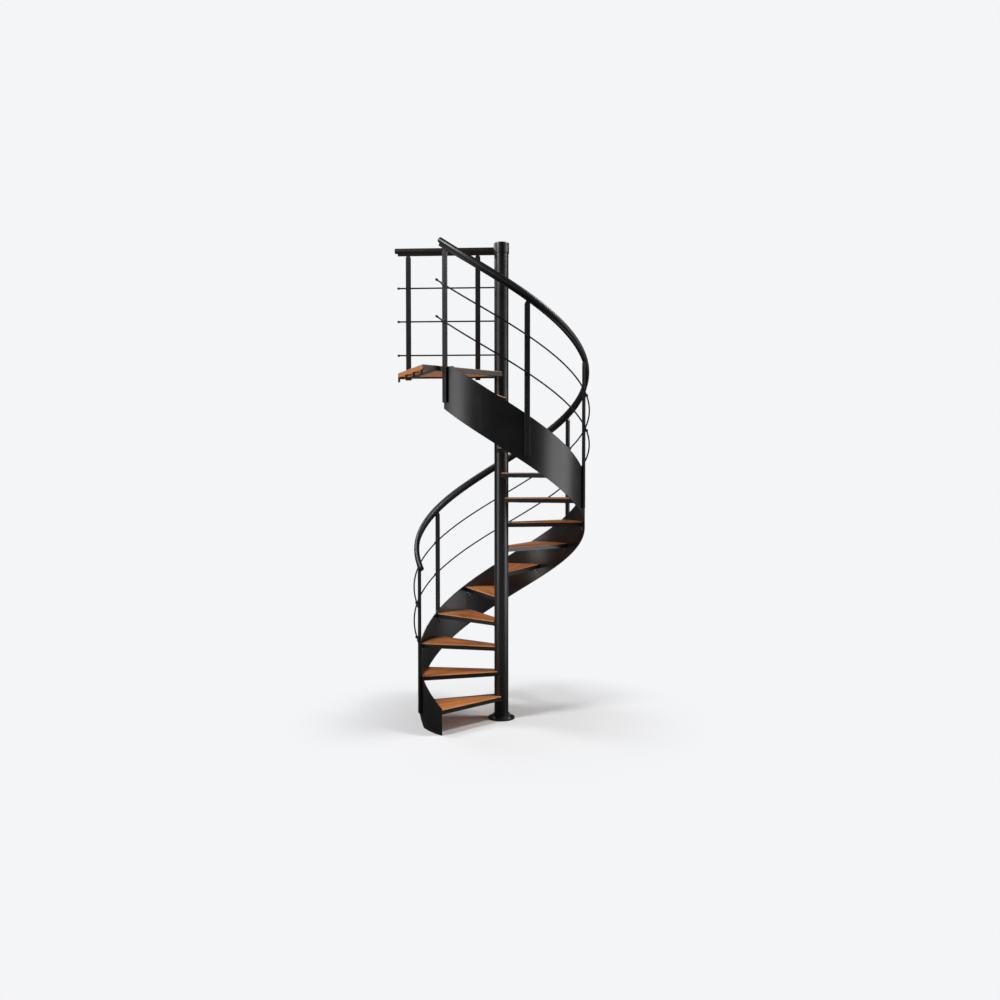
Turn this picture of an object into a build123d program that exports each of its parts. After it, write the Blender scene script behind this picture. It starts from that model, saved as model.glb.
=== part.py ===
"""Spiral staircase: wooden treads on steel trays, a central column, one outer
helical stringer, flat posts with a tubular handrail and two helical rods, and
a wedge-shaped landing with its own straight guard rail.

Millimetres, +Z up. The origin is on the column's axis at the underside of the
base plate. The stair climbs clockwise as seen from above. Every plan angle is
in degrees from +X, counted anticlockwise.
"""
import os
from math import asin, atan2, cos, degrees, pi, radians, sin, tan

from build123d import *

# ---- Climb ----
STEP_COUNT = 13
RISE = 200.0
FIRST_RISE = 192.0
STEP_ANGLE = 27.1
FIRST_NOSING_ANGLE = 226.4

# ---- Column ----
COLUMN_RADIUS = 57.0
COLUMN_WALL = 4.0
COLUMN_ABOVE_GUARD = 30.0
BASE_RADIUS = 107.0
BASE_THICKNESS = 12.0
BASE_ROUNDING = 2.0
ANCHOR_CIRCLE_RADIUS = 85.0
ANCHOR_COUNT = 4
ANCHOR_HOLE_RADIUS = 7.0
CAP_WALL = 4.0
CAP_SKIRT = 83.0
CAP_CROWN = 10.0
CAP_EDGE_ROUNDING = 6.0

# ---- Treads ----
STRINGER_INNER_RADIUS = 664.0
TREAD_WIDTH = 352.0
TREAD_HUB_HALF_WIDTH = 46.0
BOARD_ABOVE_TRAY = 6.5
BOARD_EDGE_ROUNDING = 1.5
TRAY_HEIGHT = 31.0
TRAY_SHEET = 3.0
TRAY_LEDGE = 30.0
TAB_WIDTH = 34.0
TAB_DROP = 44.5
TAB_INSET = 26.0

# ---- Stringer ----
STRINGER_THICKNESS = 6.0
STRINGER_ABOVE_NOSINGS = 18.0
STRINGER_BELOW_NOSINGS = 348.0
STRINGER_START_TURN = -1.0
STRINGER_END_TURN = 356.2
STRINGER_TOP_BELOW_LANDING = 7.0
STRINGER_LENGTHS = 13

# ---- Balustrade of the flight ----
POST_WIDTH = 40.0
POST_DEPTH = 20.0
POST_ROUNDING = 4.0
POST_COUNT = 7
POST_BEHIND_NOSING = 2.2
FIRST_POST_BEHIND_NOSING = 0.0
POST_ABOVE_STRINGER_EDGE = 57.0
POST_HEAD_CUT_WIDTH = 18.0
POST_HEAD_CUT_HEIGHT = 34.0
HANDRAIL_RADIUS = 21.2
HANDRAIL_WALL = 2.5
HANDRAIL_ABOVE_NOSINGS = 885.0
HANDRAIL_START_TURN = 22.8
HANDRAIL_END_TURN = 358.4
RAIL_BAR_WIDTH = 20.0
RAIL_BAR_HEIGHT = 17.5
RAIL_BAR_TOP_DROP = 15.9
RAIL_BAR_END_SETBACK = 12.0
RAIL_END_CAP = 5.0
RAIL_END_ROUNDING = 0.8
ROD_RADIUS = 6.0
ROD_FROM_POST = 12.0
ROD_HEIGHTS = (312.5, 583.0)
ROD_START_TURN = 24.5
ROD_END_TURN = 359.0
ROD_END_RADIUS = 9.0
ROD_END_LENGTH = 16.0
CLIP_RADIUS = 10.0
CLIP_CAP = 4.0
CLIP_SCREW_RADIUS = 6.0
CLIP_SCREW_DEPTH = 2.4

# ---- Landing ----
LANDING_DIRECTION = 200.8
LANDING_NEAR_ANGLE = 21.2
LANDING_FAR_ANGLE = 24.0
LANDING_LENGTH = 762.0
LANDING_NOSING_OFFSET = 78.0
LANDING_FAR_OFFSET = 2.0
LANDING_INNER_END = 30.0
LANDING_FAR_RIM_HEIGHT = 38.5
LANDING_BEARER_WIDTH = 40.0
LANDING_BEARER_THICKNESS = 5.0
LANDING_BEARER_FROM_EDGE = 80.0
FLOOR_BRACKET_COUNT = 4
FLOOR_BRACKET_LENGTH = 55.0
FLOOR_BRACKET_DEPTH = 42.0
FLOOR_BRACKET_HEIGHT = 40.0
FLOOR_BRACKET_SHEET = 4.0
GUARD_HEIGHT = 998.0
GUARD_END = 858.0
GUARD_POST_PLACES = (190.0, 750.0)
GUARD_POST_BELOW_LANDING = 57.0
GUARD_POST_HEAD_CUT_WIDTH = 8.0
GUARD_POST_HEAD_CUT_HEIGHT = 16.0
GUARD_ROD_HEIGHTS = (145.5, 416.5, 684.0)
GUARD_ROD_END = 842.0

# ---- Clearances ----
SEAT_GAP = 0.3
POST_TOP_GAP = 0.5

# ---- Sizes that follow ----
LANDING_TOP = FIRST_RISE + STEP_COUNT * RISE
CLIMB_PER_TURN = RISE * 360 / STEP_ANGLE
BOARD_THICKNESS = BOARD_ABOVE_TRAY + TRAY_HEIGHT - TRAY_SHEET
BOARD_MARGIN = TRAY_SHEET + SEAT_GAP
TRAY_BOTTOM = -BOARD_ABOVE_TRAY - TRAY_HEIGHT
TRAY_OUTER_RADIUS = STRINGER_INNER_RADIUS - SEAT_GAP
NOTCH_RADIUS = COLUMN_RADIUS + SEAT_GAP
TREAD_HALF_ARC = degrees(asin(TREAD_WIDTH / 2 / TRAY_OUTER_RADIUS))
TREAD_HALF_ANGLE = TREAD_HALF_ARC - degrees(asin(TREAD_HUB_HALF_WIDTH / TRAY_OUTER_RADIUS))
STRINGER_OUTER_RADIUS = STRINGER_INNER_RADIUS + STRINGER_THICKNESS
POST_INNER_RADIUS = STRINGER_OUTER_RADIUS + SEAT_GAP
POST_OUTER_RADIUS = POST_INNER_RADIUS + POST_DEPTH
RAIL_CENTRE_RADIUS = POST_INNER_RADIUS + POST_DEPTH / 2
ROD_CENTRE_RADIUS = POST_OUTER_RADIUS + ROD_FROM_POST
GUARD_TUBE_HEIGHT = LANDING_TOP + GUARD_HEIGHT - HANDRAIL_RADIUS
COLUMN_TOP = GUARD_TUBE_HEIGHT + HANDRAIL_RADIUS + COLUMN_ABOVE_GUARD
CAP_BOTTOM = COLUMN_TOP - CAP_SKIRT
CAP_RADIUS = COLUMN_RADIUS + SEAT_GAP + CAP_WALL
GUARD_DIRECTION = LANDING_DIRECTION - LANDING_FAR_ANGLE
GUARD_POST_INNER = LANDING_FAR_OFFSET + SEAT_GAP
GUARD_LINE = GUARD_POST_INNER + POST_DEPTH / 2
GUARD_ROD_LINE = GUARD_POST_INNER + POST_DEPTH + ROD_FROM_POST


def angle_at(turn):
    """Plan angle after climbing this many degrees from the first nosing."""
    return FIRST_NOSING_ANGLE - turn


def nosing_height(turn):
    """Height of the line over the nosings at this turn."""
    return FIRST_RISE + RISE * turn / STEP_ANGLE


def around(angle):
    return Rot(0, 0, angle)


def polygon(*corners):
    return make_face(Polyline(*corners, close=True))


def polygon_upright(*corners):
    """Face in the plane through the axis and +X; corners are (x, z)."""
    return make_face(Polyline(*[(x, 0, z) for x, z in corners], close=True))


def climbing_path(radius, start_turn, end_turn):
    """A helix that starts on +X. It is put in place by helix_place."""
    rise = CLIMB_PER_TURN * (end_turn - start_turn) / 360
    return Helix(CLIMB_PER_TURN, rise, radius, lefthand=True)


def helix_place(height, start_turn):
    """Turns and lifts a helix from +X to its start above the nosing line."""
    lift = Pos(0, 0, nosing_height(start_turn) + height)
    return lift * around(angle_at(start_turn))


def square_section(path):
    """Plane square to the path at its start, x outward and y upward."""
    return Plane(origin=path @ 0, x_dir=(1, 0, 0), z_dir=path % 0)


# ---- Column and base ----
def base_plate():
    plate = Circle(BASE_RADIUS)
    plate -= PolarLocations(ANCHOR_CIRCLE_RADIUS, ANCHOR_COUNT, 45) * Circle(ANCHOR_HOLE_RADIUS)
    solid = extrude(plate, BASE_THICKNESS)
    rim = solid.edges().filter_by(GeomType.CIRCLE).group_by(Axis.Z)[-1].sort_by(SortBy.RADIUS)[-1]
    return fillet(rim, BASE_ROUNDING)


def column():
    wall = Circle(COLUMN_RADIUS) - Circle(COLUMN_RADIUS - COLUMN_WALL)
    length = COLUMN_TOP - CAP_CROWN - BASE_THICKNESS
    return Pos(0, 0, BASE_THICKNESS) * extrude(wall, length)


def column_cap():
    solid = extrude(Circle(CAP_RADIUS), CAP_SKIRT)
    solid -= extrude(Circle(COLUMN_RADIUS + SEAT_GAP), CAP_SKIRT - CAP_CROWN)
    top = solid.edges().filter_by(GeomType.CIRCLE).group_by(Axis.Z)[-1]
    return Pos(0, 0, CAP_BOTTOM) * fillet(top, CAP_EDGE_ROUNDING)


# ---- Treads ----
def wedge_half_width(x):
    return TREAD_HUB_HALF_WIDTH / cos(radians(TREAD_HALF_ANGLE)) + x * tan(radians(TREAD_HALF_ANGLE))


def tread_plan(margin):
    """Plan of a tread that points along +X, drawn in by a margin all round."""
    side = margin / cos(radians(TREAD_HALF_ANGLE))
    beyond = TRAY_OUTER_RADIUS + margin
    near = wedge_half_width(0) - side
    far = wedge_half_width(beyond) - side
    wedge = polygon((0, near), (beyond, far), (beyond, -far), (0, -near))
    return wedge & Circle(TRAY_OUTER_RADIUS - margin) - Circle(NOTCH_RADIUS + margin)


def tread_place(number):
    turn = (number - 1) * STEP_ANGLE
    return Pos(0, 0, nosing_height(turn)) * around(angle_at(turn) - TREAD_HALF_ARC)


def tread_board():
    """Board that lies on the tray's ledge and stands a little above its rim."""
    board = Pos(0, 0, -BOARD_THICKNESS) * extrude(tread_plan(BOARD_MARGIN), BOARD_THICKNESS)
    return fillet(board.faces().sort_by(Axis.Z)[-1].edges(), BOARD_EDGE_ROUNDING)


def tray_tab(side):
    """Lug at the outer end of a tray that is bolted to the stringer."""
    sheet = Circle(TRAY_OUTER_RADIUS) - Circle(TRAY_OUTER_RADIUS - TRAY_SHEET)
    across = side * (TREAD_WIDTH / 2 - TAB_INSET)
    plan = sheet & Pos(TRAY_OUTER_RADIUS, across) * Rectangle(3 * TRAY_LEDGE, TAB_WIDTH)
    return Pos(0, 0, TRAY_BOTTOM - TAB_DROP) * extrude(plan, TAB_DROP)


def tread_tray():
    rim = extrude(tread_plan(0) - tread_plan(TRAY_SHEET), TRAY_HEIGHT)
    ledge = extrude(tread_plan(0) - tread_plan(TRAY_LEDGE), TRAY_SHEET)
    tray = Pos(0, 0, TRAY_BOTTOM) * (rim + ledge)
    return tray + tray_tab(1) + tray_tab(-1)


# ---- Stringer ----
def stringer():
    """Plate rolled to a cylinder, its edges parallel to the nosing line. It is
    made of equal lengths welded end to end."""
    inner = STRINGER_INNER_RADIUS
    outer = STRINGER_OUTER_RADIUS
    low = -STRINGER_BELOW_NOSINGS
    high = STRINGER_ABOVE_NOSINGS
    section = polygon_upright((inner, low), (outer, low), (outer, high), (inner, high))
    span = (STRINGER_END_TURN - STRINGER_START_TURN) / STRINGER_LENGTHS
    length = sweep(section, path=climbing_path(inner, 0, span), is_frenet=True)
    starts = [STRINGER_START_TURN + index * span for index in range(STRINGER_LENGTHS)]
    lengths = [helix_place(0, start) * length for start in starts]
    band = lengths[0] + lengths[1:]
    height = LANDING_TOP - STRINGER_TOP_BELOW_LANDING
    room = Pos(0, 0, height / 2) * Box(3 * outer, 3 * outer, height)
    return band & room


# ---- Balustrade of the flight ----
def post_turn(index):
    """Posts stand just behind every second nosing."""
    behind = FIRST_POST_BEHIND_NOSING if index == 0 else POST_BEHIND_NOSING
    return (2 * index + 1) * STEP_ANGLE + behind


def post_section():
    return RectangleRounded(POST_DEPTH, POST_WIDTH, POST_ROUNDING)


def bar_drop():
    """From the handrail's axis to the underside of its bar, upright."""
    slope = atan2(CLIMB_PER_TURN / (2 * pi), RAIL_CENTRE_RADIUS)
    return (HANDRAIL_RADIUS + RAIL_BAR_HEIGHT) / cos(slope)


def head_cut(width, height, half_width):
    """Wedge that takes the corner off a post's head on the +Y side. The head's
    top corner there is at the origin."""
    corners = ((0, 0), (2 * half_width, 0), (2 * half_width, -2 * height), (0, -2 * height))
    lean = degrees(atan2(width, height))
    wedge = extrude(Plane.YZ * polygon(*corners), POST_DEPTH, both=True)
    return Pos(0, -width, 0) * Rot(lean, 0, 0) * wedge


def stair_posts():
    """Their heads follow the handrail's slope, with the uphill corner cut off."""
    slope = degrees(atan2(CLIMB_PER_TURN / (2 * pi), RAIL_CENTRE_RADIUS))
    rise_to_corner = POST_WIDTH / 2 * tan(radians(slope))
    spare = POST_WIDTH
    posts = []
    for index in range(POST_COUNT):
        turn = post_turn(index)
        foot = nosing_height(turn) - STRINGER_BELOW_NOSINGS + POST_ABOVE_STRINGER_EDGE
        head = nosing_height(turn) + HANDRAIL_ABOVE_NOSINGS - bar_drop() - POST_TOP_GAP
        post = Pos(RAIL_CENTRE_RADIUS, 0, foot) * extrude(post_section(), head + spare - foot)
        above = Box(4 * POST_WIDTH, 4 * POST_WIDTH, 2 * spare, align=(Align.CENTER, Align.CENTER, Align.MIN))
        above = Pos(RAIL_CENTRE_RADIUS, 0, head) * Rot(-slope, 0, 0) * above
        cut = Rot(0, 0, 180) * head_cut(POST_HEAD_CUT_WIDTH, POST_HEAD_CUT_HEIGHT, POST_WIDTH)
        cut = Pos(RAIL_CENTRE_RADIUS, -POST_WIDTH / 2, head + rise_to_corner) * cut
        posts.append(around(angle_at(turn)) * (post - above - cut))
    return Compound(children=posts)


def handrail_tube():
    path = climbing_path(RAIL_CENTRE_RADIUS, HANDRAIL_START_TURN, HANDRAIL_END_TURN)
    tube = sweep(square_section(path) * tube_section(), path=path, is_frenet=True)
    return helix_place(HANDRAIL_ABOVE_NOSINGS, HANDRAIL_START_TURN) * tube


def tube_section():
    return Circle(HANDRAIL_RADIUS) - Circle(HANDRAIL_RADIUS - HANDRAIL_WALL)


def rail_end_caps():
    """Low rounded caps that close the handrail and the guard rail."""
    cap = extrude(Circle(HANDRAIL_RADIUS), RAIL_END_CAP)
    edge = cap.edges().filter_by(GeomType.CIRCLE).group_by(Axis.Z)[-1]
    cap = fillet(edge, RAIL_END_CAP * RAIL_END_ROUNDING)
    path = climbing_path(RAIL_CENTRE_RADIUS, HANDRAIL_START_TURN, HANDRAIL_END_TURN)
    place = helix_place(HANDRAIL_ABOVE_NOSINGS, HANDRAIL_START_TURN)
    lower = place * (Plane(origin=path @ 0, z_dir=path % 0 * -1) * cap)
    upper = place * (Plane(origin=path @ 1, z_dir=path % 1) * cap)
    guard_end = Plane(origin=(GUARD_END - RAIL_END_CAP, -GUARD_LINE, GUARD_TUBE_HEIGHT), z_dir=(1, 0, 0))
    guard = guard_place() * (guard_end * cap)
    return Compound(children=[lower, upper, guard])


def bar_section():
    """Flat bar under the tube, hollowed on top to fit it."""
    top = -RAIL_BAR_TOP_DROP
    bottom = -HANDRAIL_RADIUS - RAIL_BAR_HEIGHT
    bar = Pos(0, (top + bottom) / 2) * Rectangle(RAIL_BAR_WIDTH, top - bottom)
    return bar - Circle(HANDRAIL_RADIUS + SEAT_GAP)


def handrail_bar():
    setback = degrees(RAIL_BAR_END_SETBACK / RAIL_CENTRE_RADIUS)
    start = HANDRAIL_START_TURN + setback
    path = climbing_path(RAIL_CENTRE_RADIUS, start, HANDRAIL_END_TURN - setback)
    bar = sweep(square_section(path) * bar_section(), path=path, is_frenet=True)
    return helix_place(HANDRAIL_ABOVE_NOSINGS, start) * bar


def helical_rod(height):
    path = climbing_path(ROD_CENTRE_RADIUS, ROD_START_TURN, ROD_END_TURN)
    rod = sweep(square_section(path) * Circle(ROD_RADIUS), path=path, is_frenet=True)
    knob = extrude(Circle(ROD_END_RADIUS), ROD_END_LENGTH)
    rod += Plane(origin=path @ 0, z_dir=path % 0 * -1) * knob
    rod += Plane(origin=path @ 1, z_dir=path % 1) * knob
    return helix_place(height, ROD_START_TURN) * rod


def clip(slope):
    """Round stud from a post's outer face that grips a rod. It points along
    +X from the rod's centre line, and the rod runs along Y, tilted. A round
    seat in its outer end takes the screw's head."""
    reach = ROD_FROM_POST - SEAT_GAP
    end = ROD_RADIUS + CLIP_CAP
    stud = Rot(0, 90, 0) * extrude(Circle(CLIP_RADIUS), reach + end)
    stud = Pos(-reach, 0, 0) * stud
    bore = Rot(90 - slope, 0, 0) * Cylinder(ROD_RADIUS + SEAT_GAP, 6 * CLIP_RADIUS)
    screw_seat = Pos(end - CLIP_SCREW_DEPTH, 0, 0) * Rot(0, 90, 0) * extrude(Circle(CLIP_SCREW_RADIUS), CLIP_SCREW_DEPTH)
    return stud - bore - screw_seat


def rod_clips():
    slope = degrees(atan2(CLIMB_PER_TURN / (2 * pi), ROD_CENTRE_RADIUS))
    clips = []
    for index in range(POST_COUNT):
        turn = post_turn(index)
        for height in ROD_HEIGHTS:
            place = Pos(0, 0, nosing_height(turn) + height) * around(angle_at(turn))
            clips.append(place * Pos(ROD_CENTRE_RADIUS, 0, 0) * clip(slope))
    return Compound(children=clips)


# ---- Landing ----
def landing_side(x, offset, side_angle):
    """From the landing's centre line to its side, measured square to that line."""
    return offset / cos(radians(side_angle)) + x * tan(radians(side_angle))


def landing_plan(margin):
    """Plan of the landing, pointing along +X. The margin draws it in at both
    sides and at the column, and leaves the outer edge where it is."""
    inner = LANDING_INNER_END
    outer = LANDING_LENGTH
    near = LANDING_NOSING_OFFSET - margin
    far = LANDING_FAR_OFFSET - margin
    corners = (
        (inner, landing_side(inner, near, LANDING_NEAR_ANGLE)),
        (outer, landing_side(outer, near, LANDING_NEAR_ANGLE)),
        (outer, -landing_side(outer, far, LANDING_FAR_ANGLE)),
        (inner, -landing_side(inner, far, LANDING_FAR_ANGLE)),
    )
    return polygon(*corners) - Circle(NOTCH_RADIUS + margin)


def landing_place():
    return Pos(0, 0, LANDING_TOP) * around(LANDING_DIRECTION)


def landing_board():
    board = Pos(0, 0, -BOARD_THICKNESS) * extrude(landing_plan(BOARD_MARGIN), BOARD_THICKNESS)
    board = fillet(board.faces().sort_by(Axis.Z)[-1].edges(), BOARD_EDGE_ROUNDING)
    return landing_place() * board


def side_rim(side_angle, offset, hand, height):
    """Folded angle along a side of the board: its upright leg outside the
    board, its ledge under it on the side given by hand."""
    length = 2 * LANDING_LENGTH
    upright = Pos(0, min(0, hand * TRAY_SHEET)) * Rectangle(length, TRAY_SHEET, align=(Align.MIN, Align.MIN))
    flat = Pos(0, min(0, hand * TRAY_LEDGE)) * Rectangle(length, TRAY_LEDGE, align=(Align.MIN, Align.MIN))
    place = around(side_angle) * Pos(0, offset)
    leg = Pos(0, 0, -BOARD_ABOVE_TRAY - height) * extrude(place * upright & landing_plan(0), height)
    ledge = Pos(0, 0, TRAY_BOTTOM) * extrude(place * flat & landing_plan(0), TRAY_SHEET)
    return leg + ledge


def landing_bearer():
    """Flat bar under the board, parallel to its outer edge."""
    middle = LANDING_LENGTH - LANDING_BEARER_FROM_EDGE - LANDING_BEARER_WIDTH / 2
    plan = Pos(middle, 0) * Rectangle(LANDING_BEARER_WIDTH, 2 * LANDING_LENGTH) & landing_plan(0)
    thickness = LANDING_BEARER_THICKNESS
    return Pos(0, 0, -BOARD_THICKNESS - thickness) * extrude(plan, thickness)


def landing_frame():
    """Angles along both sides, joined by a plate at the hub and a flat bar."""
    hub = landing_plan(0) & Circle(COLUMN_RADIUS + 3 * TRAY_LEDGE)
    frame = Pos(0, 0, TRAY_BOTTOM) * extrude(hub, TRAY_SHEET)
    collar = (Circle(NOTCH_RADIUS + TRAY_SHEET) - Circle(NOTCH_RADIUS)) & landing_plan(0)
    frame += Pos(0, 0, TRAY_BOTTOM) * extrude(collar, TRAY_HEIGHT)
    frame += side_rim(LANDING_NEAR_ANGLE, LANDING_NOSING_OFFSET, -1, TRAY_HEIGHT)
    frame += side_rim(-LANDING_FAR_ANGLE, -LANDING_FAR_OFFSET, 1, LANDING_FAR_RIM_HEIGHT)
    frame += landing_bearer()
    return landing_place() * frame


def floor_bracket(top, with_foot):
    """Folded piece under the board's outer edge: a web in the plane of that
    edge, a flange at its top and, between the corners, one at its foot."""
    sheet = FLOOR_BRACKET_SHEET
    foot = -BOARD_THICKNESS - FLOOR_BRACKET_HEIGHT
    outside_and_below = (Align.MAX, Align.MIN, Align.MAX)
    web = Box(sheet, FLOOR_BRACKET_LENGTH, top - foot, align=outside_and_below)
    flange = Box(FLOOR_BRACKET_DEPTH, FLOOR_BRACKET_LENGTH, sheet, align=outside_and_below)
    bracket = Pos(0, 0, top) * (web + flange)
    if with_foot:
        bracket += Pos(0, 0, foot + sheet) * flange
    return bracket


def floor_brackets():
    """Evenly spaced from corner to corner, for the edge of the upper floor."""
    near = landing_side(LANDING_LENGTH, LANDING_NOSING_OFFSET, LANDING_NEAR_ANGLE) - FLOOR_BRACKET_LENGTH
    far = -landing_side(LANDING_LENGTH, LANDING_FAR_OFFSET, LANDING_FAR_ANGLE)
    last = FLOOR_BRACKET_COUNT - 1
    tops = {0: -BOARD_ABOVE_TRAY - LANDING_FAR_RIM_HEIGHT, last: TRAY_BOTTOM}
    room = extrude(landing_plan(0), 2 * (BOARD_THICKNESS + FLOOR_BRACKET_HEIGHT), both=True)
    brackets = []
    for index in range(FLOOR_BRACKET_COUNT):
        across = far + (near - far) * index / last
        bracket = floor_bracket(tops.get(index, -BOARD_THICKNESS), index not in tops)
        bracket = Pos(LANDING_LENGTH, across, 0) * bracket
        brackets.append(landing_place() * (bracket & room))
    return Compound(children=brackets)


# ---- Guard rail of the landing ----
def guard_place():
    """+X runs from the column along the far edge, -Y is the outer side."""
    return around(GUARD_DIRECTION)


def guard_posts():
    """Both corners of their heads are cut off."""
    foot = LANDING_TOP - GUARD_POST_BELOW_LANDING
    head = GUARD_TUBE_HEIGHT - HANDRAIL_RADIUS - RAIL_BAR_HEIGHT - SEAT_GAP
    post = extrude(post_section(), head - foot)
    cut = head_cut(GUARD_POST_HEAD_CUT_WIDTH, GUARD_POST_HEAD_CUT_HEIGHT, POST_WIDTH)
    cut = Pos(0, POST_WIDTH / 2, head - foot) * cut
    post = around(-90) * (post - cut - Rot(0, 0, 180) * cut)
    posts = [guard_place() * Pos(x, -GUARD_LINE, foot) * post for x in GUARD_POST_PLACES]
    return Compound(children=posts)


def along_guard(section, line, height, length):
    """A section with x toward the landing and y up, run along the guard."""
    start = Plane(origin=(0, -line, height), x_dir=(0, 1, 0), z_dir=(1, 0, 0))
    return extrude(start * section, length)


def clear_of_column(bar, radius):
    room = Pos(0, 0, LANDING_TOP) * Cylinder(radius, 4 * GUARD_HEIGHT)
    behind = Pos(-GUARD_END, 0, LANDING_TOP) * Box(2 * GUARD_END, GUARD_END, 4 * GUARD_HEIGHT)
    return bar - room - behind


def guard_rail_tube():
    tube = along_guard(tube_section(), GUARD_LINE, GUARD_TUBE_HEIGHT, GUARD_END - RAIL_END_CAP)
    return guard_place() * clear_of_column(tube, CAP_RADIUS + SEAT_GAP)


def guard_rail_bar():
    bar = along_guard(bar_section(), GUARD_LINE, GUARD_TUBE_HEIGHT, GUARD_END - 2 * RAIL_BAR_END_SETBACK)
    return guard_place() * clear_of_column(bar, CAP_RADIUS + SEAT_GAP)


def guard_rods():
    rods = []
    for height in GUARD_ROD_HEIGHTS:
        rod = along_guard(Circle(ROD_RADIUS), GUARD_ROD_LINE, LANDING_TOP + height, GUARD_ROD_END - ROD_END_LENGTH)
        rod = clear_of_column(rod, COLUMN_RADIUS + SEAT_GAP)
        knob = extrude(Circle(ROD_END_RADIUS), ROD_END_LENGTH)
        end = Plane(origin=(GUARD_ROD_END - ROD_END_LENGTH, -GUARD_ROD_LINE, LANDING_TOP + height), z_dir=(1, 0, 0))
        rods.append(guard_place() * (rod + end * knob))
    return Compound(children=rods)


def guard_clips():
    clips = []
    for x in GUARD_POST_PLACES:
        for height in GUARD_ROD_HEIGHTS:
            place = guard_place() * Pos(x, -GUARD_ROD_LINE, LANDING_TOP + height) * around(-90)
            clips.append(place * clip(0))
    return Compound(children=clips)


def build_all():
    parts = {
        "base_plate": base_plate(),
        "column": column(),
        "column_cap": column_cap(),
        "stringer": stringer(),
        "stair_posts": stair_posts(),
        "handrail_tube": handrail_tube(),
        "handrail_bar": handrail_bar(),
        "rail_end_caps": rail_end_caps(),
        "lower_rod": helical_rod(ROD_HEIGHTS[0]),
        "upper_rod": helical_rod(ROD_HEIGHTS[1]),
        "rod_clips": rod_clips(),
        "landing_board": landing_board(),
        "landing_frame": landing_frame(),
        "floor_brackets": floor_brackets(),
        "guard_posts": guard_posts(),
        "guard_rail_tube": guard_rail_tube(),
        "guard_rail_bar": guard_rail_bar(),
        "guard_rods": guard_rods(),
        "guard_clips": guard_clips(),
    }
    board = tread_board()
    tray = tread_tray()
    for number in range(1, STEP_COUNT + 1):
        parts[f"tread_board_{number:02d}"] = tread_place(number) * board
        parts[f"tread_tray_{number:02d}"] = tread_place(number) * tray
    return parts


os.makedirs("parts", exist_ok=True)
for name, shape in build_all().items():
    export_step(shape, f"parts/{name}.step")
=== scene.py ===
"""Looks of the spiral staircase: finishes, fixings and the studio.

Metres, +Z up, the same frame as the CAD model. The stair climbs clockwise as
seen from above, and plan angles are in degrees from +X, counted anticlockwise.
"""
import random
from math import asin, cos, degrees, pi, radians, sin, sqrt, tan

import bpy
from mathutils import Matrix, Vector


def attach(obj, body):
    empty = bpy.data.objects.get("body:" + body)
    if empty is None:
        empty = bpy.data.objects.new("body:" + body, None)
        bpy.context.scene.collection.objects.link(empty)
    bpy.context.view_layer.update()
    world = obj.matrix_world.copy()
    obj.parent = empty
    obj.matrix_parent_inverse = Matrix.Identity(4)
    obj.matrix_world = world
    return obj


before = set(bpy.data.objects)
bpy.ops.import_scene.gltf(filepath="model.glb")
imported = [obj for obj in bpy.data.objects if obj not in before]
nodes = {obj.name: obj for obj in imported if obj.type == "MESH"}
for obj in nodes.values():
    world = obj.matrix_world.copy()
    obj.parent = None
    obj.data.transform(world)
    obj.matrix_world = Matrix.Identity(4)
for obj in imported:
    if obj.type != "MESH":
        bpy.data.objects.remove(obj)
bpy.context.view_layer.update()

# ---- Sizes taken over from the CAD model ----
STEP_COUNT = 13
RISE = 0.200
FIRST_RISE = 0.192
STEP_ANGLE = 27.1
FIRST_NOSING_ANGLE = 226.4
COLUMN_RADIUS = 0.057
BASE_THICKNESS = 0.012
ANCHOR_CIRCLE_RADIUS = 0.085
ANCHOR_COUNT = 4
ANCHOR_FIRST_ANGLE = 45
STRINGER_INNER_RADIUS = 0.664
STRINGER_BELOW_NOSINGS = 0.348
TREAD_WIDTH = 0.352
TREAD_HUB_HALF_WIDTH = 0.046
TRAY_BOTTOM = -0.0375
TRAY_SHEET = 0.003
TRAY_OUTER_RADIUS = 0.6637
TAB_INSET = 0.026
POST_COUNT = 7
POST_BEHIND_NOSING = 2.2
POST_ABOVE_STRINGER_EDGE = 0.057
ROD_CENTRE_RADIUS = 0.7023
ROD_HEIGHTS = (0.3125, 0.583)
ROD_RADIUS = 0.006
CLIP_CAP = 0.004
CLIP_SCREW_DEPTH = 0.0024
LANDING_TOP = FIRST_RISE + STEP_COUNT * RISE
GUARD_DIRECTION = 176.8
GUARD_POST_PLACES = (0.190, 0.750)
GUARD_ROD_HEIGHTS = (0.1455, 0.4165, 0.684)
GUARD_ROD_LINE = 0.0343

TREAD_HALF_ARC = degrees(asin(TREAD_WIDTH / 2 / TRAY_OUTER_RADIUS))
TREAD_HALF_ANGLE = TREAD_HALF_ARC - degrees(asin(TREAD_HUB_HALF_WIDTH / TRAY_OUTER_RADIUS))

# ---- Colours, linear ----
STEEL_DARK = (0.0034, 0.0031, 0.0034, 1)
STEEL_LIGHT = (0.0066, 0.0061, 0.0066, 1)
STEEL_DUST = (0.0180, 0.0170, 0.0160, 1)
ZINC_DARK = (0.42, 0.42, 0.42, 1)
ZINC_LIGHT = (0.66, 0.66, 0.65, 1)
WOOD_DARK = (0.375, 0.110, 0.022, 1)
WOOD_MIDDLE = (0.600, 0.200, 0.048, 1)
WOOD_LIGHT = (0.740, 0.282, 0.082, 1)
WOOD_PORE = (0.120, 0.040, 0.014, 1)
# Painted highlight on the treads' upright edge faces.
PAINTED_EDGE_HIGHLIGHT = (0.800, 0.500, 0.300, 1)
# Painted shade on the landing's upright edge faces.
PAINTED_FASCIA_SHADE = (0.430, 0.160, 0.050, 1)
WOOD_SHEEN = (1.0, 0.86, 0.78, 1)
BACKDROP = (0.905, 0.913, 0.930, 1)
FLOOR = (0.900, 0.906, 0.920, 1)
WHITE = (1.0, 1.0, 1.0, 1)
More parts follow.
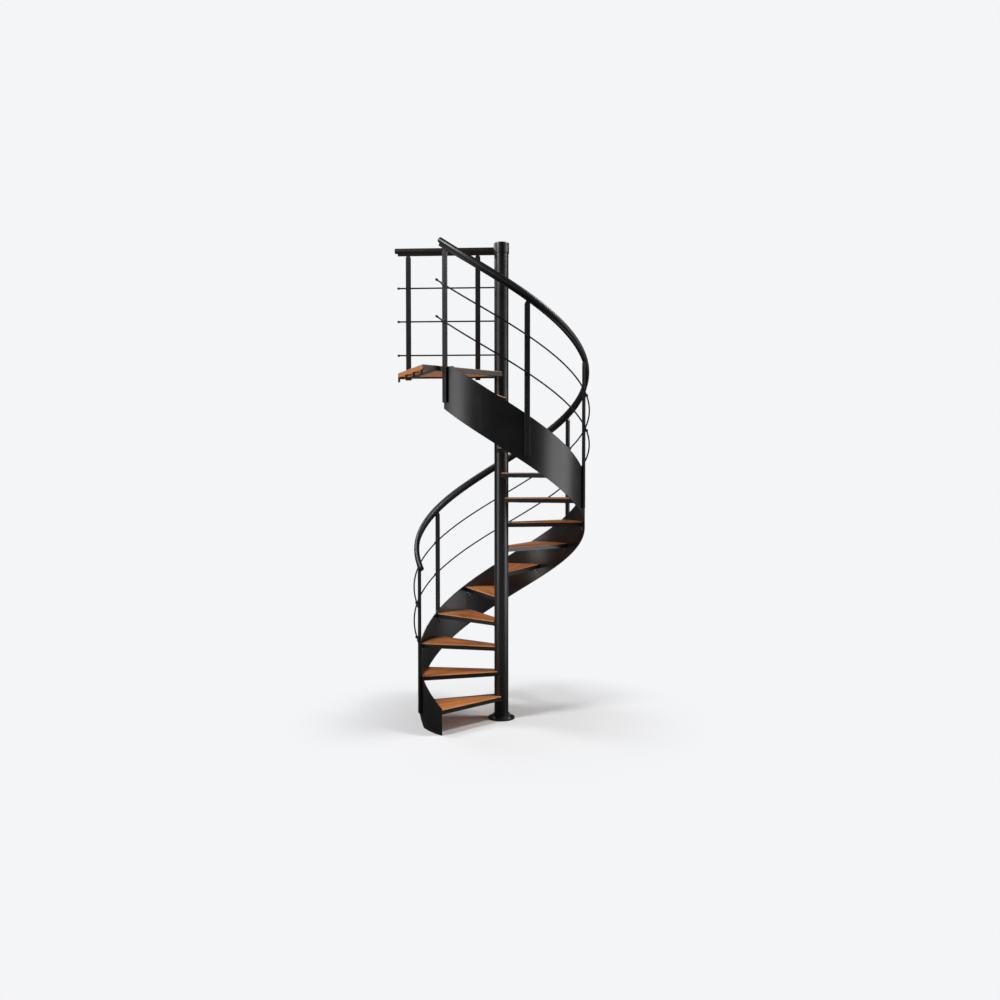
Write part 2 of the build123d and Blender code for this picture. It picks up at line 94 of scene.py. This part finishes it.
BLACK = (0.0, 0.0, 0.0, 1)

# ---- Powder coat: noise scales per metre ----
COAT_CLOUD_SCALE = 9.0
COAT_SPECK_SCALE = 900.0
COAT_PEEL_SCALE = 420.0
COAT_CLOUD_RANGE = (0.30, 0.72)
COAT_DUST_SHARE = 0.35
COAT_SPECK_SHARE = 0.25
COAT_ROUGHNESS_SPREAD = 0.05
COAT_PEEL_STRENGTH = 0.5
COAT_IOR = 1.5

# ---- Zinc ----
ZINC_CLOUD_SCALE = 160.0
ZINC_SCRATCH_SCALE = 1500.0
ZINC_CLOUD_RANGE = (0.3, 0.7)
ZINC_ROUGHNESS = (0.26, 0.42)
ZINC_SCRATCH_DEPTH = 0.00003
ZINC_SCRATCH_STRENGTH = 0.4

# ---- Wood: each grain as its waves per metre along and across the staves ----
STAVE_WIDTH = 0.046
STAVE_WAVER = 0.0004
STAVE_WAVER_SCALE = 2.0
STAVE_NUMBER_STEP = 17.0
STAVE_SHIFT = 9.0
STAVE_TONE = 0.07
FIGURE_GRAIN = (1.3, 26.0)
FIBRE_GRAIN = (7.0, 240.0)
PORE_GRAIN = (45.0, 900.0)
FIGURE_DISTORTION = 0.9
FIGURE_TONE_SHARE = 0.75
FIBRE_TONE_SHARE = 0.25
WOOD_TONES = (0.28, 0.50, 0.70)
PORE_RANGE = (0.30, 0.40)
PORE_SHARE = 0.55
# Mask and share of the painted light on the boards' upright edge faces.
PAINTED_EDGE_UPWARD_RANGE = (0.55, 0.93)
PAINTED_EDGE_SHARE = 0.80
WOOD_ROUGHNESS = (0.46, 0.34)
WOOD_IOR = 1.47
WOOD_SHEEN_WEIGHT = 0.05
WOOD_SHEEN_ROUGHNESS = 0.45
FIBRE_RELIEF = 0.6
PORE_RELIEF = -0.5
WOOD_RELIEF_DEPTH = 0.00012
WOOD_RELIEF_STRENGTH = 0.6

# ---- Fixings ----
RING_STEPS = 32
HEAD_STEPS = 48
ANCHOR_WASHER_THICKNESS = 0.0025
TREAD_BOLT_PLACES = ((0.0085, 0.013), (-0.0085, 0.030))  # across its lug, below the tray
POST_BOLT_HEIGHTS = (0.045, 0.205)
BOARD_SCREW_PLACES = (0.16, 0.34, 0.52, 0.63)
BOARD_SCREW_INSET = 0.018
SMOOTH_ANGLE = 35
BEAD_SMOOTH_ANGLE = 60
BEAD_SIDES = 8
BEAD_RIPPLE = 0.10
BEAD_RIPPLE_TURN = 0.9
TREAD_BEAD_RADIUS = 0.0026
TREAD_BEAD_OUT = 0.0012
TREAD_BEAD_DROP = 0.0008
TREAD_BEAD_STEPS = 48
BASE_BEAD_RADIUS = 0.0042
BASE_BEAD_OUT = 0.0014
BASE_BEAD_LIFT = 0.0012
BASE_BEAD_END = 358.9
BASE_BEAD_STEPS = 320

# ---- Studio ----
WORLD_LEVEL = 0.08
GLOSS_DEPTH_RANGE = (-0.6, 0.9)  # how far a glossy ray points to the back
GLOSS_LEVELS = (0.02, 0.045)
FLOOR_RADIUS = 14.0
FLOOR_STEPS = 96
FLOOR_DROP = 0.0005
FLOOR_FADE_RANGE = (0.6, 1.8)
FLOOR_CLOUD_SCALE = 1.5
FLOOR_CLOUD_LOW = 0.985
GLOSS_FLOOR_RANGE = (0.8, 6.0)
GLOSS_FLOOR_LEVELS = (0.04, 0.30)
LAMP_AIM_HEIGHT = 1.9
# name, plan direction, distance, height, width, height of the lamp itself, watts
LAMPS = (
    ("left_softbox", 212, 4.4, 1.9, 1.6, 3.4, 36),
    ("right_softbox", -11, 4.4, 1.8, 3.2, 3.4, 57),
    ("left_key", 211, 4.0, 6.0, 1.2, 1.2, 192),
    ("right_key", -2, 4.0, 6.0, 1.2, 1.2, 200),
    ("back_key", 145, 3.4, 5.4, 1.4, 1.4, 90),
)
CAMERA_PLACE = (0.0, -7.372, 2.051)
CAMERA_DOWN = 2.172
CAMERA_TURN = 0.087
CAMERA_LENS_MM = 32.974
CAMERA_SENSOR_MM = 36.0


# ---- Node helpers ----
class Tree:
    """Adds nodes and links to the node tree of a material or a world."""

    # Numbers of the colour sockets of a Mix node.
    MIX_FIRST = 6
    MIX_SECOND = 7
    MIX_RESULT = 2

    def __init__(self, owner):
        owner.use_nodes = True
        self.tree = owner.node_tree
        self.tree.nodes.clear()

    def add(self, kind, inputs=None, **settings):
        """A new node, its inputs given by socket name or number."""
        node = self.tree.nodes.new(kind)
        for name, value in settings.items():
            setattr(node, name, value)
        for key, value in (inputs or {}).items():
            self.feed(node.inputs[key], value)
        return node

    def feed(self, socket, value):
        if isinstance(value, bpy.types.NodeSocket):
            self.tree.links.new(value, socket)
        else:
            socket.default_value = value

    def read(self, kind, output):
        """An output of a new node that needs no inputs."""
        return self.add(kind).outputs[output]

    def math(self, operation, first, second=0.0):
        return self.add("ShaderNodeMath", {0: first, 1: second}, operation=operation).outputs[0]

    def times(self, first, second):
        return self.math("MULTIPLY", first, second)

    def plus(self, first, second):
        return self.math("ADD", first, second)

    def axes(self, vector):
        return self.add("ShaderNodeSeparateXYZ", {"Vector": vector}).outputs

    def ramp(self, factor, *stops):
        """Colour ramp from (position, colour) stops."""
        node = self.add("ShaderNodeValToRGB", {0: factor})
        elements = node.color_ramp.elements
        while len(elements) < len(stops):
            elements.new(1.0)
        for element, (position, colour) in zip(elements, stops):
            element.position = position
            element.color = colour
        return node.outputs[0]

    def blend(self, factor, first, second, mode="MIX"):
        """Blend of two colours."""
        inputs = {0: factor, self.MIX_FIRST: first, self.MIX_SECOND: second}
        node = self.add("ShaderNodeMix", inputs, data_type="RGBA", blend_type=mode)
        return node.outputs[self.MIX_RESULT]

    def span(self, value, low, high):
        """A 0 to 1 value spread between two numbers."""
        return self.add("ShaderNodeMapRange", {0: value, 1: 0.0, 2: 1.0, 3: low, 4: high}).outputs[0]

    def ease(self, value, start_end, low_high):
        """A value that eases from low to high between start and end."""
        inputs = dict(enumerate((value, *start_end, *low_high)))
        node = self.add("ShaderNodeMapRange", inputs, interpolation_type="SMOOTHSTEP")
        return node.outputs[0]

    def noise(self, place, scale, detail, distortion=0.0):
        inputs = {"Vector": place, "Scale": scale, "Detail": detail, "Distortion": distortion}
        return self.add("ShaderNodeTexNoise", inputs).outputs[0]

    def bump(self, height, depth, strength):
        inputs = {"Strength": strength, "Distance": depth, "Height": height}
        return self.add("ShaderNodeBump", inputs).outputs[0]

    def mix(self, factor, first, second):
        """Mix of two shader nodes."""
        inputs = {0: factor, 1: first.outputs[0], 2: second.outputs[0]}
        return self.add("ShaderNodeMixShader", inputs)

    def show(self, shader, kind="ShaderNodeOutputMaterial"):
        """Makes a shader node the output of the material or world."""
        self.tree.links.new(shader.outputs[0], self.add(kind).inputs[0])


def new_material(name):
    """A new material with its tree and the place on the object, in metres."""
    material = bpy.data.materials.new(name)
    tree = Tree(material)
    return material, tree, tree.read("ShaderNodeTexCoord", "Object")


# ---- Finishes ----
def powder_coat(name, roughness, texture, gloss=1.0):
    """Satin black powder coat: fine orange peel, uneven gloss, a little dust."""
    material, tree, place = new_material(name)
    cloud = tree.noise(place, COAT_CLOUD_SCALE, detail=4.0)
    speck = tree.noise(place, COAT_SPECK_SCALE, detail=1.0)
    peel = tree.noise(place, COAT_PEEL_SCALE, detail=2.0)
    colour = tree.ramp(cloud, *zip(COAT_CLOUD_RANGE, (STEEL_DARK, STEEL_LIGHT)))
    upward = tree.axes(tree.read("ShaderNodeNewGeometry", "Normal"))[2]
    dust = tree.times(tree.math("MAXIMUM", upward, 0.0), cloud)
    colour = tree.blend(tree.times(dust, COAT_DUST_SHARE), colour, STEEL_DUST)
    colour = tree.blend(tree.span(speck, 0.0, COAT_SPECK_SHARE), colour, STEEL_LIGHT)
    low, high = roughness - COAT_ROUGHNESS_SPREAD, roughness + COAT_ROUGHNESS_SPREAD
    tree.show(tree.add("ShaderNodeBsdfPrincipled", {
        "Base Color": colour,
        "Roughness": tree.span(cloud, low, high),
        "IOR": COAT_IOR,
        "Specular IOR Level": gloss,
        "Normal": tree.bump(peel, texture, COAT_PEEL_STRENGTH),
    }))
    return material


def zinc(name):
    """Bright zinc plating of the bolts and nuts."""
    material, tree, place = new_material(name)
    cloud = tree.noise(place, ZINC_CLOUD_SCALE, detail=3.0)
    scratch = tree.noise(place, ZINC_SCRATCH_SCALE, detail=2.0)
    colour = tree.ramp(cloud, *zip(ZINC_CLOUD_RANGE, (ZINC_DARK, ZINC_LIGHT)))
    tree.show(tree.add("ShaderNodeBsdfPrincipled", {
        "Base Color": colour,
        "Metallic": 1.0,
        "Roughness": tree.span(cloud, *ZINC_ROUGHNESS),
        "Normal": tree.bump(scratch, ZINC_SCRATCH_DEPTH, ZINC_SCRATCH_STRENGTH),
    }))
    return material


def wood(name, direction, seed, painted_edge_colour):
    """Oiled hardwood glued up from staves that run along the board, its upright edge faces painted
    in a colour of their own: a painted highlight on the treads, painted shade on the landing.
    """
    chooser = random.Random(seed)
    material, tree, place = new_material(name)
    turned = tree.add(
        "ShaderNodeVectorRotate",
        {"Vector": place, "Angle": -radians(direction)},
        rotation_type="Z_AXIS",
    )
    x, y, z = tree.axes(turned.outputs[0])

    # Every stave gets a number, and from it a tone and a shift of its own.
    waver = tree.noise(place, STAVE_WAVER_SCALE, detail=1.0)
    shifted = tree.plus(y, tree.span(waver, -STAVE_WAVER, STAVE_WAVER))
    shifted = tree.plus(shifted, chooser.uniform(0, STAVE_WIDTH))
    stave = tree.math("FLOOR", tree.math("DIVIDE", shifted, STAVE_WIDTH))
    number = tree.plus(stave, seed * STAVE_NUMBER_STEP)
    pick = tree.add("ShaderNodeTexWhiteNoise", {"W": number}, noise_dimensions="1D").outputs[0]
    own = tree.times(pick, STAVE_SHIFT)
    long_x = tree.plus(x, own)

    def grain(along_across, detail, distortion=0.0, z_shift=0.0):
        """Noise that is drawn out along the staves."""
        along, across = along_across
        inputs = {
            "X": tree.times(long_x, along),
            "Y": tree.times(y, across),
            "Z": tree.plus(tree.times(z, across), z_shift),
        }
        stretched = tree.add("ShaderNodeCombineXYZ", inputs).outputs[0]
        return tree.noise(stretched, 1.0, detail, distortion)

    figure = grain(FIGURE_GRAIN, detail=4.0, distortion=FIGURE_DISTORTION, z_shift=own)
    fibre = grain(FIBRE_GRAIN, detail=3.0)
    pore = grain(PORE_GRAIN, detail=1.0)

    tone = tree.plus(tree.times(figure, FIGURE_TONE_SHARE), tree.times(fibre, FIBRE_TONE_SHARE))
    tone = tree.plus(tone, tree.span(pick, -STAVE_TONE, STAVE_TONE))
    colour = tree.ramp(tone, *zip(WOOD_TONES, (WOOD_DARK, WOOD_MIDDLE, WOOD_LIGHT)))
    dark_pore = tree.ramp(pore, *zip(PORE_RANGE, (WHITE, BLACK)))
    colour = tree.blend(tree.times(dark_pore, PORE_SHARE), colour, WOOD_PORE)

    # Upright faces are the board's edges. They are painted in the given edge colour: a painted
    # highlight on the treads, painted shade on the landing.
    upward = tree.axes(tree.read("ShaderNodeNewGeometry", "True Normal"))[2]
    painted_edge_mask = tree.ramp(tree.math("ABSOLUTE", upward), *zip(PAINTED_EDGE_UPWARD_RANGE, (WHITE, BLACK)))
    colour = tree.blend(tree.times(painted_edge_mask, PAINTED_EDGE_SHARE), colour, painted_edge_colour)

    relief = tree.plus(tree.times(fibre, FIBRE_RELIEF), tree.times(dark_pore, PORE_RELIEF))
    tree.show(tree.add("ShaderNodeBsdfPrincipled", {
        "Base Color": colour,
        "Roughness": tree.span(figure, *WOOD_ROUGHNESS),
        "IOR": WOOD_IOR,
        "Sheen Weight": WOOD_SHEEN_WEIGHT,
        "Sheen Roughness": WOOD_SHEEN_ROUGHNESS,
        "Sheen Tint": WOOD_SHEEN,
        "Normal": tree.bump(relief, WOOD_RELIEF_DEPTH, WOOD_RELIEF_STRENGTH),
    }))
    return material


# ---- Mesh helpers ----
def ring(radius, height, steps=RING_STEPS):
    """Points round a circle about the Z axis."""
    points = []
    for index in range(steps):
        angle = 2 * pi * index / steps
        points.append(Vector((radius * cos(angle), radius * sin(angle), height)))
    return points


def head_ring(radius, height):
    """A ring with as many points as a hexagon has."""
    return ring(radius, height, HEAD_STEPS)


def hexagon(across_flats, height, chamfer=0.0):
    """Points round a hexagon; its corners drop away as a turned chamfer does."""
    chamfer_start = across_flats / 2 * 0.99
    points = []
    for index in range(HEAD_STEPS):
        angle = 2 * pi * index / HEAD_STEPS
        radius = across_flats / 2 / cos((angle + pi / 6) % (pi / 3) - pi / 6)
        drop = max(0.0, radius - chamfer_start) * chamfer
        points.append(Vector((radius * cos(angle), radius * sin(angle), height - drop)))
    return points


def lathe(rings):
    """Skin through rings of equal count, closed at both ends."""
    steps = len(rings[0])
    points = [point for row in rings for point in row]
    faces = []
    for row in range(len(rings) - 1):
        for index in range(steps):
            here = row * steps + index
            beside = row * steps + (index + 1) % steps
            faces.append((here, beside, beside + steps, here + steps))
    faces.append(tuple(reversed(range(steps))))
    faces.append(tuple(range((len(rings) - 1) * steps, len(rings) * steps)))
    return points, faces


def merged(name, shapes, places, material, smooth_angle=SMOOTH_ANGLE):
    """One piece made of every shape at every place, riding on the object."""
    points = []
    faces = []
    for place in places:
        for shape_points, shape_faces in shapes:
            first = len(points)
            points += [place @ point for point in shape_points]
            faces += [tuple(first + index for index in face) for face in shape_faces]
    mesh = bpy.data.meshes.new(name)
    mesh.from_pydata(points, [], faces)
    mesh.update()
    mesh.shade_smooth()
    mesh.set_sharp_from_angle(angle=radians(smooth_angle))
    piece = bpy.data.objects.new(name, mesh)
    bpy.context.collection.objects.link(piece)
    piece.data.materials.append(material)
    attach(piece, "root")
    return piece


def button_head(radius, height, socket):
    """Domed head with a hexagon socket. It stands on z = 0."""
    foot_radius = radius * 0.96
    face_radius = radius * 0.52
    socket_top = height * 0.98
    socket_floor = height * 0.35
    floor_size = socket * 0.96
    rim_share = 0.12
    crown_share = 0.88
    dome_fall = 0.72
    dome_parts = (0.25, 0.45, 0.65, 0.85)
    rows = [head_ring(foot_radius, 0.0), head_ring(radius, height * rim_share)]
    for part in dome_parts:
        dome_radius = radius * sqrt(1 - part ** 2 * dome_fall)
        rows.append(head_ring(dome_radius, height * (rim_share + crown_share * part)))
    rows.append(head_ring(face_radius, height))
    rows.append(hexagon(socket, socket_top))
    rows.append(hexagon(floor_size, socket_floor))
    return lathe(rows)


def washer(inner, outer, thickness):
    """Washer on z = 0 with a bevelled upper edge."""
    bevel = thickness * 0.25
    return lathe([
        ring(inner, 0.0),
        ring(outer, 0.0),
        ring(outer, thickness - bevel),
        ring(outer - bevel, thickness),
        ring(inner, thickness),
    ])


def nut(across_flats, height, bore, base):
    """Hexagon nut on z = base, its corners chamfered and its bore sunk."""
    flat_radius = across_flats / 2
    foot_radius = flat_radius * 0.97
    face_radius = flat_radius * 0.94
    mouth_radius = bore * 1.12
    corner_chamfer = 0.6
    top = base + height
    flats_start = base + height * 0.06
    mouth_end = base + height * 0.93
    bore_floor = base + height * 0.80
    return lathe([
        head_ring(foot_radius, base),
        hexagon(across_flats, flats_start),
        hexagon(across_flats, top, corner_chamfer),
        head_ring(face_radius, top),
        head_ring(mouth_radius, top),
        head_ring(bore, mouth_end),
        head_ring(bore, bore_floor),
    ])


def stud(radius, low, high, pitch):
    """Threaded end of a bolt, its grooves as plain rings."""
    groove = ((0.35, 1.0), (0.60, 0.88), (0.95, 1.0))  # shares of the pitch and the radius
    plain_length = 1.5 * pitch
    shoulder_radius = radius * 0.97
    shoulder_height = high - pitch * 0.5
    tip_radius = radius * 0.80
    rows = [ring(radius, low)]
    height = low
    while height < high - plain_length:
        rows += [ring(radius * width, height + pitch * rise) for rise, width in groove]
        height += pitch
    rows.append(ring(shoulder_radius, shoulder_height))
    rows.append(ring(tip_radius, high))
    return lathe(rows)


def bead(radius, centre_radius, height, start, end, steps):
    """Weld bead round the axis between two plan angles, with its ripples."""
    rows = []
    for index in range(steps + 1):
        angle = radians(start + (end - start) * index / steps)
        size = radius * (1 + BEAD_RIPPLE * sin(index * pi * BEAD_RIPPLE_TURN))
        out = Vector((cos(angle), sin(angle), 0))
        row = []
        for side in range(BEAD_SIDES):
            turn = 2 * pi * side / BEAD_SIDES
            reach = centre_radius + size * cos(turn)
            row.append(out * reach + Vector((0, 0, height + size * sin(turn))))
        rows.append(row)
    return lathe(rows)


# ---- Places ----
def around(angle):
    return Matrix.Rotation(radians(angle), 4, "Z")


def lift(height):
    return Matrix.Translation((0, 0, height))


def angle_at(turn):
    """Plan angle after a turn of the flight from the first nosing."""
    return FIRST_NOSING_ANGLE - turn


def nosing_height(turn):
    return FIRST_RISE + RISE * turn / STEP_ANGLE


def tread_direction(number):
    return angle_at((number - 1) * STEP_ANGLE) - TREAD_HALF_ARC


def tread_place(number):
    """Frame of a tread: +X along its middle, the origin level with its top."""
    return lift(FIRST_RISE + (number - 1) * RISE) @ around(tread_direction(number))


def post_turns():
    """Turns of the flight where the posts stand, the first one at its nosing."""
    for index in range(POST_COUNT):
        yield (2 * index + 1) * STEP_ANGLE + (POST_BEHIND_NOSING if index else 0)


def facing(point, axis):
    """Frame at a point with +Z along an axis."""
    return Matrix.Translation(point) @ Vector(axis).to_track_quat("Z", "Y").to_matrix().to_4x4()


def facing_at(angle, point, axis):
    """The same, with the point and the axis turned to a plan angle first."""
    turn = around(angle)
    return facing(turn @ Vector(point), turn @ Vector(axis))


# ---- Finishes on the CAD nodes ----
def finish(node, material):
    for slot in nodes[node].material_slots:
        slot.material = material


coat = powder_coat("powder_coat", roughness=0.34, texture=0.00003)
rail_coat = powder_coat("handrail_coat", roughness=0.44, texture=0.000006, gloss=0.62)
rod_coat = powder_coat("rod_coat", roughness=0.50, texture=0.000006, gloss=0.22)
plated = zinc("zinc_plating")
weld_coat = powder_coat("weld_coat", roughness=0.40, texture=0.00012)

for name in nodes:
    finish(name, coat)
for name in ("handrail_tube", "guard_rail_tube", "rail_end_caps", "stair_posts", "guard_posts"):
    finish(name, rail_coat)
for name in ("lower_rod", "upper_rod", "guard_rods", "handrail_bar", "guard_rail_bar"):
    finish(name, rod_coat)
# The treads' upright edge faces get a painted highlight.
for number in range(1, STEP_COUNT + 1):
    staves = wood(f"wood_tread_{number:02d}", tread_direction(number), number, PAINTED_EDGE_HIGHLIGHT)
    finish(f"tread_board_{number:02d}", staves)
# The landing's upright edge faces get painted shade.
finish("landing_board", wood("wood_landing", GUARD_DIRECTION, STEP_COUNT + 1, PAINTED_FASCIA_SHADE))


# ---- Fixings ----
def anchors():
    """Washer, nut and threaded end over each hole of the base plate."""
    seat = Matrix.Translation((ANCHOR_CIRCLE_RADIUS, 0, BASE_THICKNESS))
    places = []
    for index in range(ANCHOR_COUNT):
        places.append(around(ANCHOR_FIRST_ANGLE + 360 / ANCHOR_COUNT * index) @ seat)
    bolt = [
        washer(inner=0.0068, outer=0.0120, thickness=ANCHOR_WASHER_THICKNESS),
        nut(across_flats=0.019, height=0.010, bore=0.006, base=ANCHOR_WASHER_THICKNESS),
        stud(radius=0.0059, low=-0.011, high=0.0185, pitch=0.00175),
    ]
    return merged("anchor_bolts", bolt, places, plated)


def tread_bolts():
    """Two bolts through each lug, their heads towards the column."""
    places = []
    reach = TRAY_OUTER_RADIUS - TRAY_SHEET
    lug_angle = degrees(asin((TREAD_WIDTH / 2 - TAB_INSET) / TRAY_OUTER_RADIUS))
    for number in range(1, STEP_COUNT + 1):
        for side in (1, -1):
            for across, below in TREAD_BOLT_PLACES:
                angle = side * lug_angle + degrees(across / reach)
                place = facing_at(angle, (reach, 0, TRAY_BOTTOM - below), (-1, 0, 0))
                places.append(tread_place(number) @ place)
    head = [
        washer(inner=0.0042, outer=0.0080, thickness=0.0012),
        button_head(radius=0.0068, height=0.0045, socket=0.0048),
    ]
    return merged("tread_bolts", head, places, plated)


def post_bolts():
    """Heads on the stringer's inner face, behind each post."""
    places = []
    for turn in post_turns():
        foot = nosing_height(turn) - STRINGER_BELOW_NOSINGS + POST_ABOVE_STRINGER_EDGE
        for height in POST_BOLT_HEIGHTS:
            point = (STRINGER_INNER_RADIUS, 0, foot + height)
            places.append(facing_at(angle_at(turn), point, (-1, 0, 0)))
    head = button_head(radius=0.0105, height=0.0060, socket=0.0070)
    return merged("post_bolts", [head], places, coat)


def clip_screws():
    """Socket screws in the outer ends of the studs that grip the rods."""
    places = []
    past_rod = ROD_RADIUS + CLIP_CAP - CLIP_SCREW_DEPTH
    for turn in post_turns():
        for height in ROD_HEIGHTS:
            point = (ROD_CENTRE_RADIUS + past_rod, 0, nosing_height(turn) + height)
            places.append(facing_at(angle_at(turn), point, (1, 0, 0)))
    for along in GUARD_POST_PLACES:
        for height in GUARD_ROD_HEIGHTS:
            point = (along, -GUARD_ROD_LINE - past_rod, LANDING_TOP + height)
            places.append(facing_at(GUARD_DIRECTION, point, (0, -1, 0)))
    head = button_head(radius=0.0055, height=0.0022, socket=0.0040)
    return merged("clip_screws", [head], places, coat)


def board_screws():
    """Heads under each tray's ledge, which hold its board."""
    places = []
    half_angle = radians(TREAD_HALF_ANGLE)
    for number in range(1, STEP_COUNT + 1):
        for along in BOARD_SCREW_PLACES:
            half_width = TREAD_HUB_HALF_WIDTH / cos(half_angle) + along * tan(half_angle)
            for side in (1, -1):
                point = (along, side * (half_width - BOARD_SCREW_INSET), TRAY_BOTTOM)
                places.append(tread_place(number) @ facing(point, (0, 0, -1)))
    head = button_head(radius=0.0055, height=0.0030, socket=0.0035)
    return merged("board_screws", [head], places, plated)


def welds():
    """Beads where the trays and the base plate meet the column."""
    reach = TREAD_HALF_ANGLE + degrees(asin(TREAD_HUB_HALF_WIDTH / COLUMN_RADIUS))
    shapes = []
    for number in range(1, STEP_COUNT + 1):
        direction = tread_direction(number)
        tray_bottom = FIRST_RISE + (number - 1) * RISE + TRAY_BOTTOM
        shapes.append(bead(
            TREAD_BEAD_RADIUS, COLUMN_RADIUS + TREAD_BEAD_OUT, tray_bottom - TREAD_BEAD_DROP,
            direction - reach, direction + reach, TREAD_BEAD_STEPS,
        ))
    shapes.append(bead(
        BASE_BEAD_RADIUS, COLUMN_RADIUS + BASE_BEAD_OUT, BASE_THICKNESS + BASE_BEAD_LIFT,
        0, BASE_BEAD_END, BASE_BEAD_STEPS,
    ))
    return merged("weld_beads", shapes, [Matrix.Identity(4)], weld_coat, BEAD_SMOOTH_ANGLE)


for make in (anchors, tread_bolts, post_bolts, clip_screws, board_screws, welds):
    make()


# ---- Studio ----
def backdrop():
    """Pale to the camera, a level fill for diffuse light, and to glossy rays
    a studio that is brighter behind the object than in front of it."""
    world = bpy.data.worlds.new("studio")
    bpy.context.scene.world = world
    tree = Tree(world)
    depth = tree.axes(tree.read("ShaderNodeTexCoord", "Generated"))[1]
    level = tree.ease(depth, GLOSS_DEPTH_RANGE, GLOSS_LEVELS)
    fill, gloss, pale = (
        tree.add("ShaderNodeBackground", {"Color": BACKDROP, "Strength": strength})
        for strength in (WORLD_LEVEL, level, 1.0)
    )
    ray = tree.add("ShaderNodeLightPath").outputs
    unseen = tree.mix(ray["Is Glossy Ray"], fill, gloss)
    seen = tree.math("MAXIMUM", ray["Is Camera Ray"], ray["Is Transmission Ray"])
    tree.show(tree.mix(seen, unseen, pale), "ShaderNodeOutputWorld")


def floor():
    """Round floor that fades into the backdrop away from the object."""
    mesh = bpy.data.meshes.new("floor")
    mesh.from_pydata(ring(FLOOR_RADIUS, -FLOOR_DROP, FLOOR_STEPS), [], [tuple(range(FLOOR_STEPS))])
    piece = bpy.data.objects.new("floor", mesh)
    bpy.context.collection.objects.link(piece)
    material, tree, place = new_material("floor")
    ray = tree.add("ShaderNodeLightPath").outputs
    distance = tree.add("ShaderNodeVectorMath", {0: place}, operation="LENGTH").outputs["Value"]
    cloud = tree.noise(place, FLOOR_CLOUD_SCALE, detail=2.0)
    cloud = tree.span(cloud, FLOOR_CLOUD_LOW, 1.0)
    colour = tree.blend(1.0, FLOOR, cloud, "MULTIPLY")
    shaded = tree.add("ShaderNodeBsdfDiffuse", {"Color": colour})
    bright = tree.ease(distance, GLOSS_FLOOR_RANGE, GLOSS_FLOOR_LEVELS)
    gloss = tree.add("ShaderNodeEmission", {"Color": BACKDROP, "Strength": bright})
    pale = tree.add("ShaderNodeEmission", {"Color": BACKDROP, "Strength": 1.0})
    near = tree.mix(ray["Is Glossy Ray"], shaded, gloss)
    fade = tree.times(tree.ease(distance, FLOOR_FADE_RANGE, (0.0, 1.0)), ray["Is Camera Ray"])
    tree.show(tree.mix(fade, near, pale))
    piece.data.materials.append(material)


def softbox(name, direction, distance, height, width, tall, power):
    """Rectangular lamp at a plan direction, aimed at the stair's axis."""
    light = bpy.data.lights.new(name, "AREA")
    light.shape = "RECTANGLE"
    light.size = width
    light.size_y = tall
    light.energy = power
    lamp = bpy.data.objects.new(name, light)
    bpy.context.collection.objects.link(lamp)
    out = Vector((cos(radians(direction)), sin(radians(direction)), 0))
    lamp.location = out * distance + Vector((0, 0, height))
    aim = Vector((0, 0, LAMP_AIM_HEIGHT)) - lamp.location
    lamp.rotation_euler = aim.to_track_quat("-Z", "Y").to_euler()


def camera():
    view = bpy.data.cameras.new("camera")
    view.lens = CAMERA_LENS_MM
    view.sensor_width = CAMERA_SENSOR_MM
    holder = bpy.data.objects.new("camera", view)
    holder.location = CAMERA_PLACE
    holder.rotation_euler = (radians(90 - CAMERA_DOWN), 0, radians(CAMERA_TURN))
    bpy.context.collection.objects.link(holder)
    bpy.context.scene.camera = holder


backdrop()
floor()
for lamp_sizes in LAMPS:
    softbox(*lamp_sizes)
camera()
bpy.context.scene.view_settings.view_transform = "Standard"
